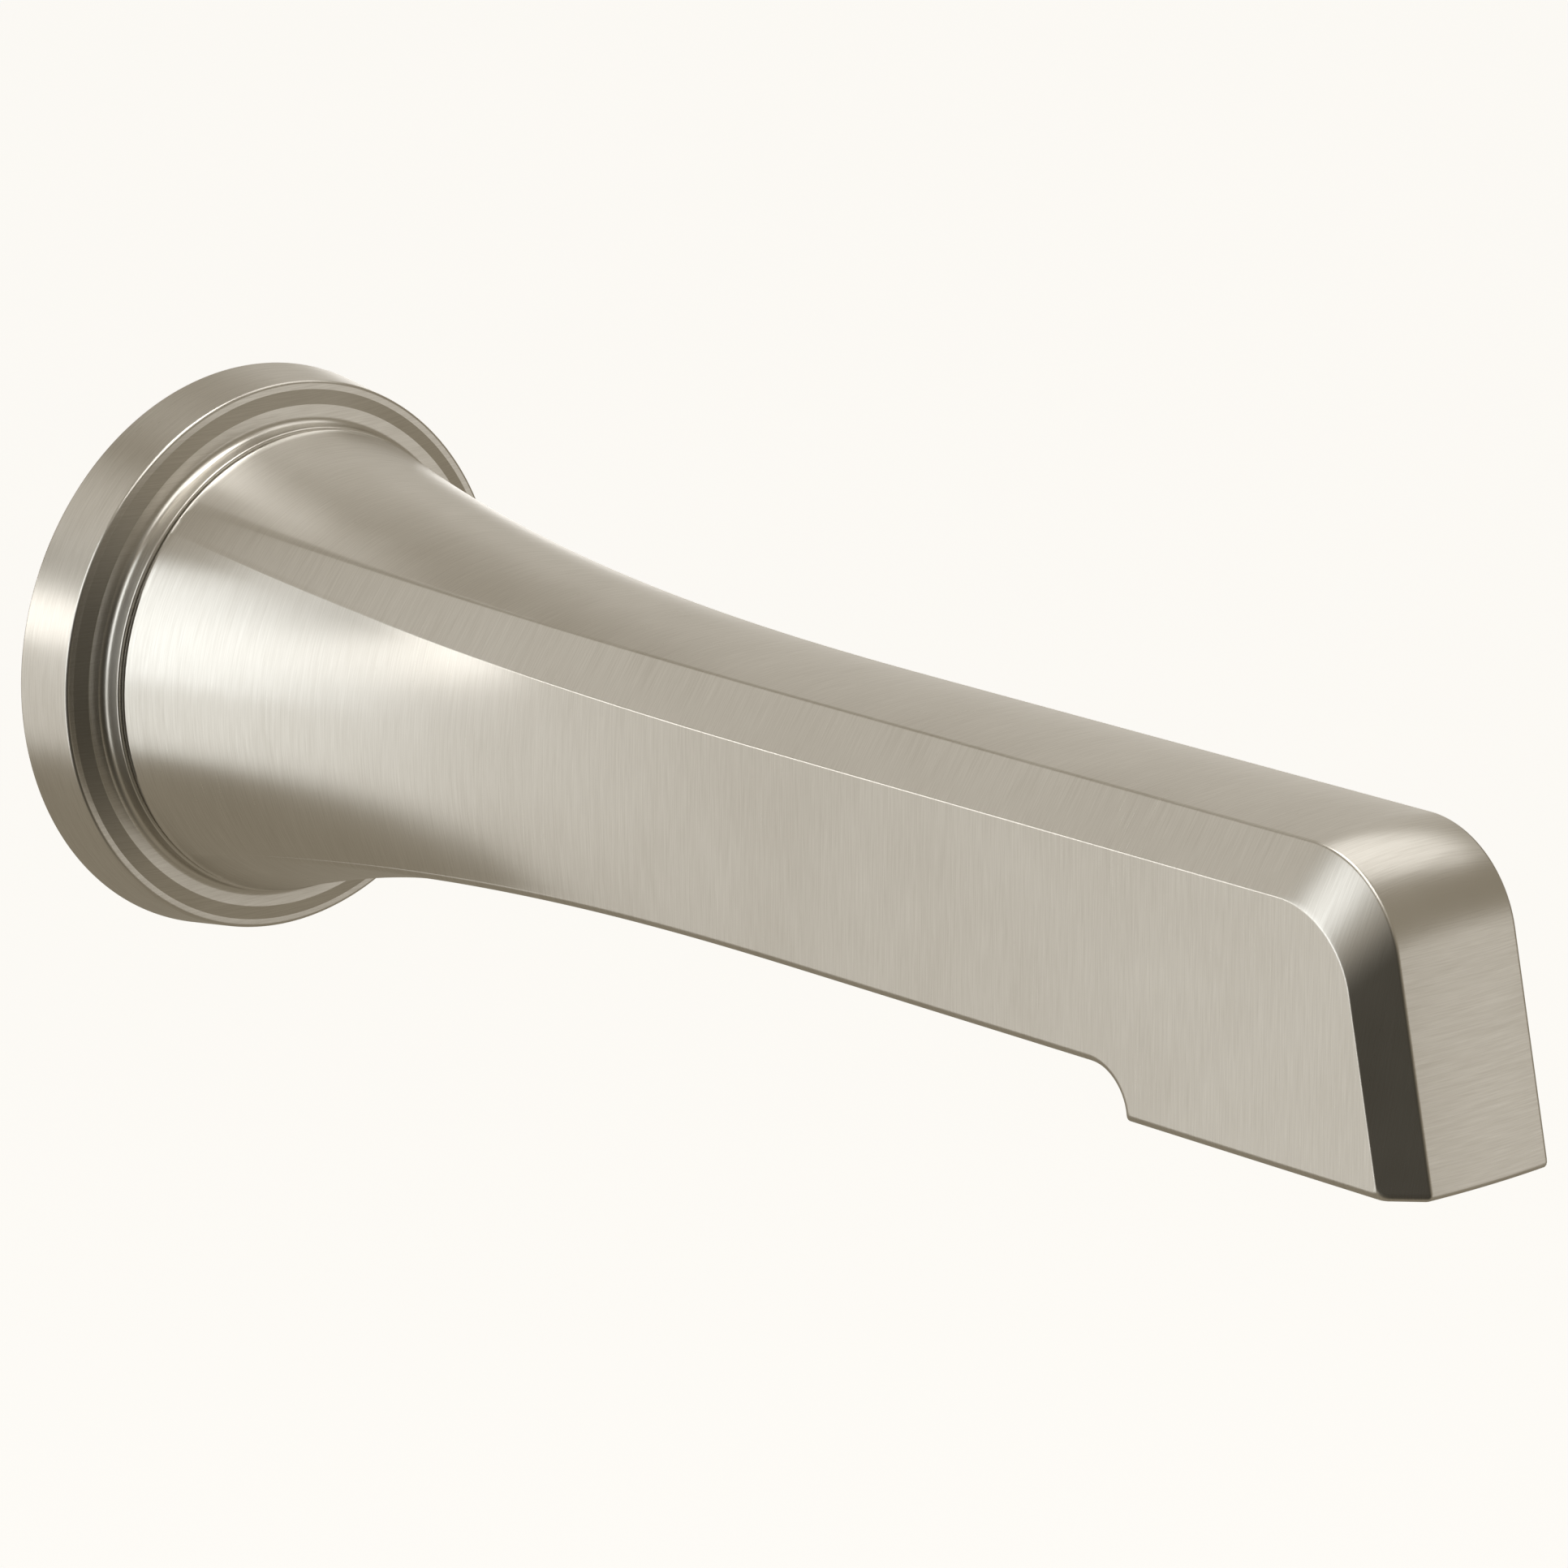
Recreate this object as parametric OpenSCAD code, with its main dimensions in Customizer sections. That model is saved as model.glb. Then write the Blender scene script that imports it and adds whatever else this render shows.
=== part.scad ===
// Wall mounted tub spout, millimetres.
// The wall is the plane y = 0, the water pipe comes out of it along the Y axis,
// the spout reaches out toward -Y and +Z is up. Distances out from the wall are
// called "out" below, so a point "out" millimetres from the wall has y = -out.

/* [Spout body] */
// Reach of the spout from the wall to the lowest point of its front face
reach = 227.4; // [200:0.2:280]
// Width across the straight sides
body_w = 28.2; // [27:0.1:36]
// Height of the top face above the pipe axis
top_h = 17.5; // [17:0.1:24]
// Depth of the underside below the pipe axis
under_h = 15.6; // [15:0.1:22]
// Extra depth of the outlet block at the tip
tip_drop = 6; // [3:0.5:9]
// Length of the outlet block along its underside
tip_l = 46.2; // [44:0.1:60]
// Radius of the round base at the flange
base_r = 31; // [28:0.5:36]
// Distance out from the wall where the flare ends and the straight sides begin
flare_end = 126; // [100:1:140]
// How quickly the round base turns into the straight section
flare_power = 2.5; // [1.5:0.1:4]
// Width of the top chamfer, measured across the spout
chamfer_w = 4.4; // [2:0.1:6]
// Height of the top chamfer
chamfer_h = 6.2; // [3:0.1:7]
// Lean of the front face from upright
front_lean = 12.3; // [4:0.1:18]
// Radius of the bend from the top face to the front face
bend_r = 14; // [8:0.5:16]
// Loss of bend radius from the top face to the side faces
bend_r_loss = 2; // [0:0.5:4]
// Rounding of the lower edges
edge_r = 0.8; // [0.4:0.1:1.5]
// Wall thickness of the casting
wall = 2.5; // [2:0.1:2.7]

/* [Flange] */
// Radius of the flange at the wall
flange_r = 38; // [36:0.5:50]
// Radius lost by the draft of the outer rim
flange_draft = 1.16; // [0:0.1:2]
// Thickness of the outer rim
rim_t = 8.4; // [7:0.1:12]
// Rise of the conical step above the rim
step_h = 0.8; // [0.4:0.1:1.5]
// Height of the collar above the rim
collar_h = 3.7; // [2:0.1:6]
// Thickness of the wall gasket
gasket_t = 1.6; // [1:0.1:3]

/* [Pipe adapter] */
// Tapping radius of the inlet thread
inlet_r = 9.3; // [8.5:0.05:10.5]
// Usable depth of the inlet thread
inlet_l = 15; // [12:0.5:18]
// Outer radius of the adapter barrel
barrel_r = 13.2; // [13:0.1:14]
// Length of the adapter
adapter_l = 46; // [44:0.5:52]
// Width across the flats of the adapter hexagon
hex_af = 27; // [24:0.5:30]
// Thickness of the adapter hexagon
hex_t = 4; // [3:0.5:4.5]
// Outer radius of the hub that slides over the adapter
hub_r = 17.5; // [17:0.1:19]

/* [Waterway] */
// Outer radius of the waterway tube
tube_r = 7; // [6:0.1:7.4]
// Bore radius of the waterway tube
tube_bore_r = 4.8; // [4:0.1:5]
// Outer radius of the outlet elbow
elbow_r = 10.3; // [10:0.1:10.6]
// Thickness of the elbow's bottom plate
plate_t = 2.7; // [2:0.1:4]
// Depth that the bottom plate is set into the spout
plate_recess = 0.6; // [0.3:0.1:1.2]

/* [Stream straightener] */
// Radius of the threaded housing
shell_r = 9.25; // [8.6:0.05:9.3]
// Height of the housing
shell_h = 7.8; // [6:0.1:8.4]
// Width across the flats of one straightener cell
cell_af = 1.9; // [1.4:0.1:2.2]
// Web between straightener cells
cell_web = 0.35; // [0.3:0.05:0.6]
// Thickness of the straightener seal
seal_t = 1.5; // [1:0.1:2]

/* [Fasteners] */
// Radius of the set screw
set_r = 3; // [2:0.5:3.5]
// Length of the set screw
set_l = 8; // [6:0.5:10]
// Radius of the elbow screws
screw_r = 1.5; // [1:0.1:1.6]

/* [Clearances] */
// Running gap between parts that slide or turn on each other
gap = 0.05; // [0.03:0.01:0.1]
// Open gap round parts that are simply placed
loose = 0.15; // [0.1:0.05:0.3]

/* [Hidden] */
$fn = 96;

// Colours
nickel = [0.70, 0.67, 0.61];
brass = [0.80, 0.64, 0.33];
steel = [0.62, 0.63, 0.65];
acetal = [0.86, 0.86, 0.84];
dark_acetal = [0.30, 0.30, 0.31];
black_rubber = [0.10, 0.10, 0.11];

// How far a cutting shape runs past the face it cuts
over = 1;

// Body sections
half_w = body_w / 2;
top_half_w = half_w - chamfer_w;
tip_under_h = under_h + tip_drop;
base_out = rim_t + collar_h + 3 * gap;
base_edge = 0.4;
flare_rings = 20;
bend_steps = 14;
cove_steps = 8;
lip_r = 0.5;
// Angles from straight up at which the edges start on the round base
top_crease_a = 38;
side_crease_a = 46;
under_edge_a = 138;
under_edge_spread = 1.5;

// Hub, bulkhead and cavities
hub_back = hex_t + 0.8;
hub_bore_r = barrel_r + gap;
hub_stop = adapter_l + 2;
spigot_r = hub_r - 0.3;
bulkhead_back = hub_stop - 6;
cavity_back = hub_stop + 2;
set_out = base_out + 10;
set_boss_r = set_r + 2.5;

// Outlet block and elbow
tip_back = reach - tip_l;
outlet_out = tip_back + 22.5;
pocket_reach = 16.75;
pocket_back = outlet_out - pocket_reach;
pocket_front = outlet_out + pocket_reach;
pocket_half_w = elbow_r + 0.75;
pocket_gap = 0.1;
plate_z = plate_recess - tip_under_h;
pocket_top = plate_z + plate_t + pocket_gap;
elbow_top = 9.6;
elbow_back = outlet_out - elbow_r + 0.2;
elbow_block_half_w = elbow_r - 1.4;
elbow_bore_r = 5;
port_stop = outlet_out - 4.75;
screw_offset = 13.05;
screw_head_r = screw_r + 0.7;
screw_head_t = 1.5;
screw_hole_l = 9;
screw_l = screw_hole_l - 0.4;
screw_seat_z = plate_z + screw_head_t + pocket_gap;

// Stream straightener, from its lower end upward
shell_z = plate_z - 0.4;
shell_lip = 1.1;
shell_bore_r = shell_r - 1.65;
insert_r = shell_bore_r - 2 * gap;
insert_z = shell_z + shell_lip;
insert_h = 5;
screen_z = insert_z + insert_h;
screen_t = 0.5;
seal_z = shell_z + shell_h;
thread_top = seal_z + seal_t;

// O-rings and the grooves they lie in
adapter_groove_r = barrel_r - 1.8;
adapter_groove_l = 2.4;
adapter_grooves = [adapter_l - 12, adapter_l - 6];
tube_back = adapter_l - 11;
tube_front = port_stop - 0.5;
tube_groove_r = tube_r - 1;
tube_groove_l = 1.3;
tube_grooves = [tube_back + 6, tube_front - 1.7];
flange_plate_t = 2.4;
flange_bore_r = spigot_r + 2 * gap;
flange_groove_r = flange_bore_r + 1.5;
flange_groove_l = 1.8;
flange_groove = rim_t - 0.8;

// Seats of the rings at the wall
gasket_in_r = flange_r - 5;
gasket_out_r = flange_r - 1.6;
washer_t = 1.8;
washer_seat_r = inlet_r - 0.3;
adapter_bore_r = 6;

// ---------------------------------------------------------------- helpers

function lerp(a, b, t) = a + (b - a) * t;
function polar(r, a) = [r * sin(a), r * cos(a)];

// Points of a line from a to b without the last one
function run(a, b, n) = [for (i = [0:n - 1]) lerp(a, b, i / n)];

// A solid through closed rings that all have the same number of points. Each end is
// closed by a fan of triangles round a centre that sees its whole ring.
module loft(rings, near_centre, far_centre) {
    n = len(rings[0]);
    last = len(rings) - 1;
    points = concat([for (ring = rings) each ring], [near_centre, far_centre]);
    near = (last + 1) * n;
    walls = [for (k = [0:last - 1]) for (i = [0:n - 1])
        let (a = k * n + i, b = k * n + (i + 1) % n) each [[a, b, b + n], [a, b + n, a + n]]];
    ends = [for (i = [0:n - 1]) let (j = (i + 1) % n)
        each [[j, i, near], [last * n + i, last * n + j, near + 1]]];
    polyhedron(points, concat(walls, ends), convexity = 6);
}

// A cylinder along the pipe axis, from one distance out to another
module rod(r, from, to) {
    translate([0, -from, 0]) rotate([90, 0, 0]) cylinder(r = r, h = to - from);
}

// A solid of revolution about the pipe axis; the outline is [radius, out]
module turned(outline) {
    rotate([90, 0, 0]) rotate_extrude() polygon(outline);
}

// A ring of rectangular section about the pipe axis
module band(inner_r, outer_r, from, to) {
    turned([[inner_r, from], [outer_r, from], [outer_r, to], [inner_r, to]]);
}

// An O-ring about the pipe axis, between two radii
module oring(inner_r, outer_r, out) {
    section_r = (outer_r - inner_r) / 2 - 0.02;
    translate([0, -out, 0]) rotate([90, 0, 0]) rotate_extrude()
        translate([(inner_r + outer_r) / 2, 0]) circle(r = section_r);
}

// ---------------------------------------------------------------- spout body

// Share of the straight section at a distance out; 0 is the round base
function straightness(out) =
    1 - pow(1 - min(1, max(0, (out - base_out) / (flare_end - base_out))), flare_power);

// Corners of the right half of the straight section, from the top face down, each
// with the angle at which it starts on the round base and the steps to the next
right_corners = [
    [[top_half_w, top_h], top_crease_a, 3],
    [[half_w, top_h - chamfer_h], side_crease_a, 10],
    [[half_w, edge_r - under_h], under_edge_a - under_edge_spread, 1],
    [[half_w - 0.3 * edge_r, 0.3 * edge_r - under_h], under_edge_a, 1],
    [[half_w - edge_r, -under_h], under_edge_a + under_edge_spread, 10],
];
left_steps = [10, 3, 10, 1, 1];
left_corners = [for (i = [len(right_corners) - 1:-1:0]) let (c = right_corners[i])
    [[-c[0][0], c[0][1]], 360 - c[1], left_steps[i]]];
corners = concat(right_corners, left_corners);
function next_angle(i) = i < len(corners) - 1 ? corners[i + 1][1] : 360 + top_crease_a;
function next_corner(i) = corners[(i + 1) % len(corners)][0];
section_points = [for (i = [0:len(corners) - 1])
    each run(corners[i][0], next_corner(i), corners[i][2])];
section_angles = [for (i = [0:len(corners) - 1])
    each run(corners[i][1], next_angle(i), corners[i][2])];

// One ring of the flare; r is the radius that the round base gives it
function flare_ring(out, r) = [for (i = [0:len(section_points) - 1])
    let (q = lerp(polar(r, section_angles[i]), section_points[i], straightness(out)))
    [q[0], -out, q[1]]];

module flare() {
    start = base_out + base_edge;
    loft(concat([flare_ring(base_out, base_r - base_edge)],
        [for (k = [0:flare_rings])
            flare_ring(lerp(start, flare_end, pow(k / flare_rings, 1.3)), base_r)]),
        [0, -base_out, 0], [0, -flare_end, 0]);
}

// Side outline of the straight part and the tip as [out, z]. share runs from 0 at
// the top face to 1 at the side faces; lift rounds the lower edges.
function side_outline(share, lift) =
    let (top = top_h - chamfer_h * share,
         r = bend_r - bend_r_loss * share,
         low = -tip_under_h,
         front = reach - chamfer_w * share / cos(front_lean),
         bend_z = top - r,
         bend_out = front - ((bend_z - low) * sin(front_lean) + r) / cos(front_lean),
         cove_r = tip_drop + lift,
         cove_out = tip_back - tip_drop,
         cove_end = asin((lip_r + lift) / cove_r),
         foot = front - lift * tan(front_lean))
    concat(
        [[flare_end, lift - under_h]],
        [for (i = [0:cove_steps]) let (a = lerp(90, cove_end, i / cove_steps))
            [cove_out + cove_r * cos(a), low + cove_r * sin(a)]],
        [[cove_out + cove_r + lip_r, low + lift],
         [foot - edge_r, low + lift],
         [foot - 0.3 * edge_r, low + lift + 0.3 * edge_r],
         [foot - edge_r * tan(front_lean), low + lift + edge_r]],
        [for (i = [0:bend_steps]) let (a = lerp(front_lean, 90, i / bend_steps))
            [bend_out + r * cos(a), bend_z + r * sin(a)]],
        [[flare_end, top]]);

// Distances of the tip's outlines from the middle plane, each with its lift
right_layers = [[top_half_w, 0], [half_w - edge_r, 0],
    [half_w - 0.3 * edge_r, 0.3 * edge_r], [half_w, edge_r]];
left_layers = [for (i = [len(right_layers) - 1:-1:0])
    [-right_layers[i][0], right_layers[i][1]]];

module tip() {
    loft([for (layer = concat(left_layers, right_layers))
        let (share = (abs(layer[0]) - top_half_w) / chamfer_w)
        [for (q = side_outline(share, layer[1])) [layer[0], -q[0], q[1]]]],
        [-half_w, -outlet_out, 0], [half_w, -outlet_out, 0]);
}

// Space between the hub and the shell, open toward the wall
module back_cavity() {
    steps = 6;
    shell_line = [for (k = [0:steps])
        let (out = lerp(base_out, bulkhead_back, k / steps),
             r = lerp(base_r, min(half_w, under_h), straightness(out)) - wall)
        [max(r, hub_r + 0.6), out]];
    difference() {
        turned(concat([[hub_r, base_out - over], [shell_line[0][0], base_out - over]],
            shell_line, [[hub_r, bulkhead_back]]));
        translate([0, -set_out, -base_r]) cylinder(r = set_boss_r, h = base_r - hub_bore_r);
    }
}

// Dry space round the waterway tube
module front_cavity() {
    side = half_w - wall;
    shoulder = top_h - chamfer_h - wall / 2;
    top_side = top_half_w - wall / 2;
    translate([0, -cavity_back, 0]) rotate([90, 0, 0])
        linear_extrude(pocket_back - over - cavity_back)
        polygon([[-side, wall - under_h], [side, wall - under_h], [side, shoulder],
            [top_side, top_h - wall], [-top_side, top_h - wall], [-side, shoulder]]);
}

// The elbow's outline above its plate, grown by a gap and started at height z
module elbow_form(grow, z, top) {
    translate([0, -outlet_out, z]) cylinder(r = elbow_r + grow, h = top - z);
    translate([-elbow_block_half_w - grow, -outlet_out, z])
        cube([2 * (elbow_block_half_w + grow), outlet_out - elbow_back + grow, top - z]);
}

module elbow_pocket() {
    low = -tip_under_h - over;
    translate([-pocket_half_w, -pocket_front, low])
        cube([2 * pocket_half_w, 2 * pocket_reach, pocket_top - low]);
    elbow_form(pocket_gap, low, elbow_top + 0.4);
    rod(tube_r + 2 * loose, pocket_back - 2 * over, elbow_back + over);
}

module at_elbow_screws() {
    for (side = [-1, 1]) at_elbow_screw(side) children();
}

module at_elbow_screw(side) {
    translate([0, -outlet_out - side * screw_offset, 0]) children();
}

module spout_body() color(nickel) difference() {
    union() {
        flare();
        tip();
        rod(spigot_r, hub_back, base_out + 3);
    }
    back_cavity();
    rod(hub_bore_r, hub_back - over, hub_stop);
    rod(tube_r + 2, hub_stop - over, cavity_back + over);
    front_cavity();
    elbow_pocket();
    translate([0, -set_out, -base_r - over]) cylinder(r = set_r + gap, h = base_r);
    at_elbow_screws() translate([0, 0, pocket_top - over])
        cylinder(r = screw_r + gap, h = screw_hole_l + over);
}

// ---------------------------------------------------------------- wall flange

module wall_flange() color(nickel) {
    rim_r = flange_r - flange_draft;
    round_r = 0.5;
    cone_out_r = rim_r - 1.1;
    cone_in_r = cone_out_r - 1.9;
    collar_r = base_r + 0.3;
    collar_edge = 0.3;
    collar_bore_r = collar_r - 1.6;
    cove_r = 1.1;
    inside_r = gasket_in_r - 1;
    ledge = rim_t + step_h;
    top = rim_t + collar_h;
    plate = rim_t - flange_plate_t;
    difference() {
        turned(concat(
            [[flange_bore_r, plate], [inside_r, plate], [inside_r, 0], [flange_r, 0]],
            [for (a = [0:15:90])
                [rim_r + round_r * (cos(a) - 1), rim_t + round_r * (sin(a) - 1)]],
            [[cone_out_r, rim_t], [cone_in_r, ledge]],
            [for (a = [270:-15:180])
                [collar_r + cove_r * (1 + cos(a)), ledge + cove_r * (1 + sin(a))]],
            [[collar_r, top - collar_edge], [collar_r - collar_edge, top],
             [collar_bore_r, top], [collar_bore_r, ledge], [flange_bore_r, ledge]]));
        band(gasket_in_r, gasket_out_r, -over, gasket_t);
        band(flange_bore_r - over, flange_groove_r, flange_groove - flange_groove_l / 2,
            flange_groove + flange_groove_l / 2);
    }
}

module wall_gasket() color(black_rubber)
    band(gasket_in_r + gap, gasket_out_r - gap, 0, gasket_t);

module flange_oring() color(black_rubber) oring(spigot_r, flange_groove_r, flange_groove);

// ---------------------------------------------------------------- pipe adapter

module pipe_adapter() color(brass) difference() {
    union() {
        rotate([90, 0, 0]) cylinder(r = hex_af / 2 / cos(30), h = hex_t, $fn = 6);
        rod(barrel_r, hex_t - over, adapter_l);
    }
    rod(inlet_r, -over, inlet_l);
    rod(washer_seat_r, inlet_l - over, inlet_l + washer_t);
    rod(adapter_bore_r, inlet_l, adapter_l);
    rod(tube_r + gap, tube_back - over, adapter_l + over);
    for (out = adapter_grooves)
        band(adapter_groove_r, barrel_r + over, out - adapter_groove_l / 2,
            out + adapter_groove_l / 2);
}

module inlet_washer() color(black_rubber)
    band(adapter_bore_r + 2 * loose, washer_seat_r - gap, inlet_l, inlet_l + washer_t);

module adapter_oring(i) color(black_rubber)
    oring(adapter_groove_r, hub_bore_r, adapter_grooves[i]);

// ---------------------------------------------------------------- set screw

module set_screw() color(steel) {
    socket_r = 0.58 * set_r;
    translate([0, -set_out, -barrel_r - gap - set_l]) difference() {
        cylinder(r = set_r, h = set_l);
        translate([0, 0, -over]) cylinder(r = socket_r, h = set_l / 2 + over, $fn = 6);
    }
}

// ---------------------------------------------------------------- waterway

module waterway_tube() color(acetal) difference() {
    rod(tube_r, tube_back, tube_front);
    rod(tube_bore_r, tube_back - over, tube_front + over);
    for (out = tube_grooves)
        band(tube_groove_r, tube_r + over, out - tube_groove_l / 2, out + tube_groove_l / 2);
}

module tube_oring(i) color(black_rubber)
    oring(tube_groove_r, tube_r + gap, tube_grooves[i]);

module outlet_elbow() color(dark_acetal) difference() {
    union() {
        translate([loose - pocket_half_w, loose - pocket_front, plate_z])
            cube([2 * (pocket_half_w - loose), 2 * (pocket_reach - loose), plate_t]);
        elbow_form(0, plate_z + plate_t / 2, elbow_top);
    }
    rod(tube_r + gap, elbow_back - over, port_stop);
    rod(elbow_bore_r - 0.2, port_stop - over, outlet_out);
    translate([0, -outlet_out, thread_top - over])
        cylinder(r = elbow_bore_r, h = elbow_bore_r + over - thread_top);
    translate([0, -outlet_out, plate_z - over])
        cylinder(r = shell_r + gap, h = thread_top + over - plate_z);
    at_elbow_screws() {
        translate([0, 0, plate_z - over])
            cylinder(r = screw_head_r + loose, h = screw_seat_z + over - plate_z);
        translate([0, 0, plate_z]) cylinder(r = screw_r + loose, h = plate_t + over);
    }
}

module elbow_screw(side) color(steel) at_elbow_screw(side) difference() {
    union() {
        translate([0, 0, screw_seat_z - screw_head_t])
            cylinder(r = screw_head_r, h = screw_head_t);
        translate([0, 0, screw_seat_z])
            cylinder(r = screw_r, h = pocket_top + screw_l - screw_seat_z);
    }
    for (turn = [0, 90]) rotate([0, 0, turn])
        translate([-screw_r * 0.8, -0.3, screw_seat_z - screw_head_t - over])
            cube([screw_r * 1.6, 0.6, over + screw_head_t / 2]);
}

// ---------------------------------------------------------------- stream straightener

// Centres of a hexagonal pattern within a radius
function cells(pitch, r) = [for (row = [-9:9]) for (col = [-9:9])
    let (x = pitch * (col + row % 2 / 2), y = pitch * row * sin(60))
    if (norm([x, y]) < r) [x, y]];

module at_outlet(z) translate([0, -outlet_out, z]) children();

module straightener_shell() color(nickel) at_outlet(shell_z) difference() {
    cylinder(r = shell_r, h = shell_h);
    translate([0, 0, shell_lip]) cylinder(r = shell_bore_r, h = shell_h);
    translate([0, 0, -over]) cylinder(r = shell_bore_r - 1.1, h = shell_h);
    for (turn = [0, 90]) rotate([0, 0, turn])
        translate([-shell_r - over, -1, -over]) cube([2 * (shell_r + over), 2, over + 0.6]);
}

module straightener_insert() color(acetal) at_outlet(insert_z) linear_extrude(insert_h)
    difference() {
        circle(r = insert_r);
        for (c = cells(cell_af + cell_web, insert_r - 0.65 * cell_af))
            translate(c) circle(r = cell_af / 2 / cos(30), $fn = 6);
    }

module straightener_screen() color(steel) at_outlet(screen_z) linear_extrude(screen_t)
    difference() {
        circle(r = insert_r);
        for (c = cells(cell_af, insert_r - 0.6 * cell_af))
            translate(c) circle(r = cell_af * 0.36, $fn = 6);
    }

module straightener_seal() color(black_rubber) at_outlet(seal_z) difference() {
    cylinder(r = shell_r, h = seal_t);
    translate([0, 0, -over]) cylinder(r = elbow_bore_r + 0.5, h = seal_t + 2 * over);
}

// ---------------------------------------------------------------- nodes

spout_body();
wall_flange();
wall_gasket();
flange_oring();
pipe_adapter();
inlet_washer();
adapter_oring(0);  // adapter_oring_1
adapter_oring(1);  // adapter_oring_2
set_screw();
waterway_tube();
tube_oring(0);  // tube_oring_1
tube_oring(1);  // tube_oring_2
outlet_elbow();
elbow_screw(-1);  // elbow_screw_1
elbow_screw(1);  // elbow_screw_2
straightener_shell();
straightener_insert();
straightener_screen();
straightener_seal();
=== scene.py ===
# A wall mounted bath spout in brushed nickel, built round its CAD frame.
#
# Sizes are millimetres in the frame of the CAD part: the wall is the plane y = 0, the
# spout reaches toward -Y and +Z is up. "out" is a distance out from the wall, so a point
# "out" millimetres from the wall has y = -out. A piece is scaled to metres once, when its
# mesh is finished.
import math

import bmesh
import bpy
from mathutils import Matrix, Vector


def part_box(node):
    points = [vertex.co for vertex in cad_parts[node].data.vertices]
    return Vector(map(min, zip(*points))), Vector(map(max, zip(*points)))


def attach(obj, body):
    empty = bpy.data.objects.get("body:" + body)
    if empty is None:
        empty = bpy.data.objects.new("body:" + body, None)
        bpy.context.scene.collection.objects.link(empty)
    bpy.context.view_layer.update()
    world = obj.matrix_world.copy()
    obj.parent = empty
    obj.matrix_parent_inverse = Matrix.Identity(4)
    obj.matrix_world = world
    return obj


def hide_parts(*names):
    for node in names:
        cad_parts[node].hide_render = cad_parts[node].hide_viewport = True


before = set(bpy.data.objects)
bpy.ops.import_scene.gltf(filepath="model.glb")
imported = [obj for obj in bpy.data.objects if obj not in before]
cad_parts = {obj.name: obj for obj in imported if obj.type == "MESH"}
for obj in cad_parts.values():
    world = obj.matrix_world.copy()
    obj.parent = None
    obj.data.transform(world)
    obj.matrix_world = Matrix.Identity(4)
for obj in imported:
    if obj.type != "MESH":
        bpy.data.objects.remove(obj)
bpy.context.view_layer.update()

MM = 0.001
TURN = 2 * math.pi

# ------------------------------------------------------------------ sizes

# Spout body
REACH = 227.4
HALF_WIDTH = 14.1
TOP = 17.5
UNDER = -15.6
TIP_DROP = 6.0
TIP_LENGTH = 46.2
BASE_RADIUS = 31.0
BASE_OUT = 12.25
FLARE_END = 126.0
FLARE_POWER = 2.5
CHAMFER_WIDTH = 4.4
CHAMFER_HEIGHT = 6.2
FRONT_LEAN = math.radians(12.3)
BEND_RADIUS = 14.0
BEND_RADIUS_LOSS = 2.0
LOWER_EDGE = 1.2
UPPER_CREASE_EASE = 0.7
SIDE_CREASE_EASE = 0.55
TIP_BACK = REACH - TIP_LENGTH
TIP_UNDER = UNDER - TIP_DROP
OUTLET_OUT = TIP_BACK + 22.5

# Where the edges of the straight section start on the round base, in degrees from the top
UPPER_CREASE_ANGLE = 38.0
SIDE_CREASE_ANGLE = 46.0
LOWER_EDGE_ANGLE = 138.0

# Hub inside the flange
HUB_BACK = 4.8
SPIGOT_RADIUS = 17.2
HUB_BORE = 13.25
HUB_STOP = 48.0

# Outlet pocket and set screw
CROWN = 0.5

POCKET_HALF_WIDTH = 11.05
POCKET_HALF_LENGTH = 16.75
POCKET_DEPTH = 3.4
WELL_RADIUS = 10.3
WELL_HEADROOM = 0.6
SET_SCREW_OUT = BASE_OUT + 10
SET_SCREW_RADIUS = 3.0

# Flange
FLANGE_RADIUS = 38.0
RIM_RADIUS = 36.84
RIM_THICKNESS = 8.4
COLLAR_TOP = 12.1

# Pipe adapter
INLET_RADIUS = 9.3
INLET_DEPTH = 15.0
PIPE_PITCH = 1.814
WASHER_SEAT_END = 16.8
BARREL_RADIUS = 13.2
ADAPTER_LENGTH = 46.0
HEX_ACROSS_FLATS = 27.0
HEX_THICKNESS = 4.0

# Outlet
PLATE_Z = TIP_UNDER + 0.6
SCREW_OFFSET = 13.05
SHELL_RADIUS = 9.25
SHELL_BORE = 7.6
SHELL_PITCH = 1.0
SHELL_Z = PLATE_Z - 0.4
SHELL_HEIGHT = 7.8


# ------------------------------------------------------------------ shaping helpers


def lerp(a, b, t):
    return a + (b - a) * t


def knots(x, table):
    """Value at x on a line through (x, value) pairs in rising order."""
    for (x0, v0), (x1, v1) in zip(table, table[1:]):
        if x <= x1:
            return lerp(v0, v1, (x - x0) / (x1 - x0))
    return table[-1][1]


def spaced(start, end, steps):
    """The points that cut start to end into steps, without the last."""
    return [lerp(start, end, i / steps) for i in range(steps)]


def eased(corners, steps=5):
    """A line of (a, b, radius) corners with each corner rounded to its radius."""
    line = []
    for i, (a, b, radius) in enumerate(corners):
        here = Vector((a, b))
        if radius == 0 or i in (0, len(corners) - 1):
            line.append(here)
            continue
        back = (Vector(corners[i - 1][:2]) - here).normalized()
        on = (Vector(corners[i + 1][:2]) - here).normalized()
        half = back.angle(on) / 2
        start = here + back * radius / math.tan(half)
        centre = here + (back + on).normalized() * radius / math.sin(half)
        end = here + on * radius / math.tan(half)
        sweep = (start - centre).angle_signed(end - centre)
        for k in range(steps + 1):
            turn = Matrix.Rotation(-sweep * k / steps, 2)
            line.append(centre + turn @ (start - centre))
    return line


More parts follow.
